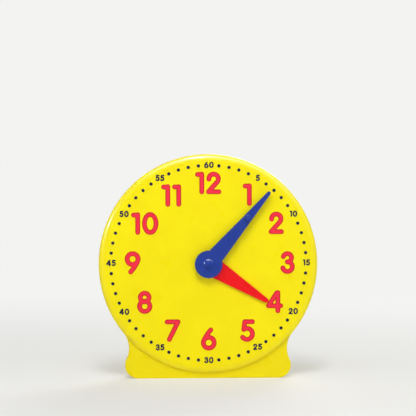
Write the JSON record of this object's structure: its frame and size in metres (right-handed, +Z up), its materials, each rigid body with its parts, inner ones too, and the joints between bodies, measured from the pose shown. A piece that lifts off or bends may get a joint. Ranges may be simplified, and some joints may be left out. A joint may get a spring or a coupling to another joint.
{
  "type": "demonstration clock",
  "caption": "Free-standing geared classroom clock: round raised dial on a flared foot, tapered hour and minute hands, fold-out rear stand.",
  "frame": {"origin": "centre of the foot's underside, on the table, halfway between the foot's front panel and the back", "axes": "+Z up, +X to the right for someone who looks at the dial, the dial faces -Y"},
  "size_m": [0.3366, 0.1295, 0.3451],
  "materials": {
    "yellow_plastic": "moulded, satin gloss",
    "red_ink": "pad printed",
    "navy_ink": "pad printed",
    "red_plastic": "moulded, satin gloss",
    "blue_plastic": "moulded, satin gloss",
    "natural_acetal": "moulded, matt",
    "steel": "drawn bright",
    "zinc_screw": "zinc plated"
  },
  "bodies": {
    "case": {"front_shell": "yellow_plastic", "rear_cover": "yellow_plastic", "hour_numerals": "red_ink", "minute_numerals": "navy_ink", "minute_dots": "navy_ink", "dial_bush": "natural_acetal", "hour_washer": "natural_acetal", "gear_plate": "natural_acetal", "gear_plate_screws": "zinc_screw", "cover_screws": "zinc_screw", "wheel_post": "steel", "friction_washer": "steel", "hinge_pin": "steel"},
    "minute_train": {"minute_hand": "blue_plastic", "hub_cap": "blue_plastic", "finger_knob": "blue_plastic", "hand_screw": "zinc_screw", "minute_arbor": "steel", "minute_pinion": "natural_acetal", "arbor_clip": "steel"},
    "intermediate_gear": {"compound_gear": "natural_acetal"},
    "hour_train": {"hour_wheel": "natural_acetal", "hour_hand": "red_plastic"},
    "stand": {"stand_wing": "yellow_plastic"}
  },
  "joints": [
    {"name": "minute_turn", "type": "hinge", "parent": "case", "child": "minute_train", "pos_m": [0, -0.01925, 0.1768], "axis": [0, 1, 0], "continuous": true},
    {"name": "intermediate_turn", "type": "hinge", "parent": "case", "child": "intermediate_gear", "pos_m": [0, -0.00775, 0.2128], "axis": [0, 1, 0], "continuous": true},
    {"name": "hour_turn", "type": "hinge", "parent": "case", "child": "hour_train", "pos_m": [0, -0.01925, 0.1768], "axis": [0, 1, 0], "continuous": true},
    {"name": "stand_fold", "type": "hinge", "parent": "case", "child": "stand", "pos_m": [0, 0.00975, 0.06], "axis": [0, 0, -1], "range_deg": [0, 90]}
  ],
  "couplings": [
    {"joint": "intermediate_turn", "follows": "minute_turn", "ratio": -0.33333},
    {"joint": "hour_turn", "follows": "minute_turn", "ratio": 0.083333}
  ]
}
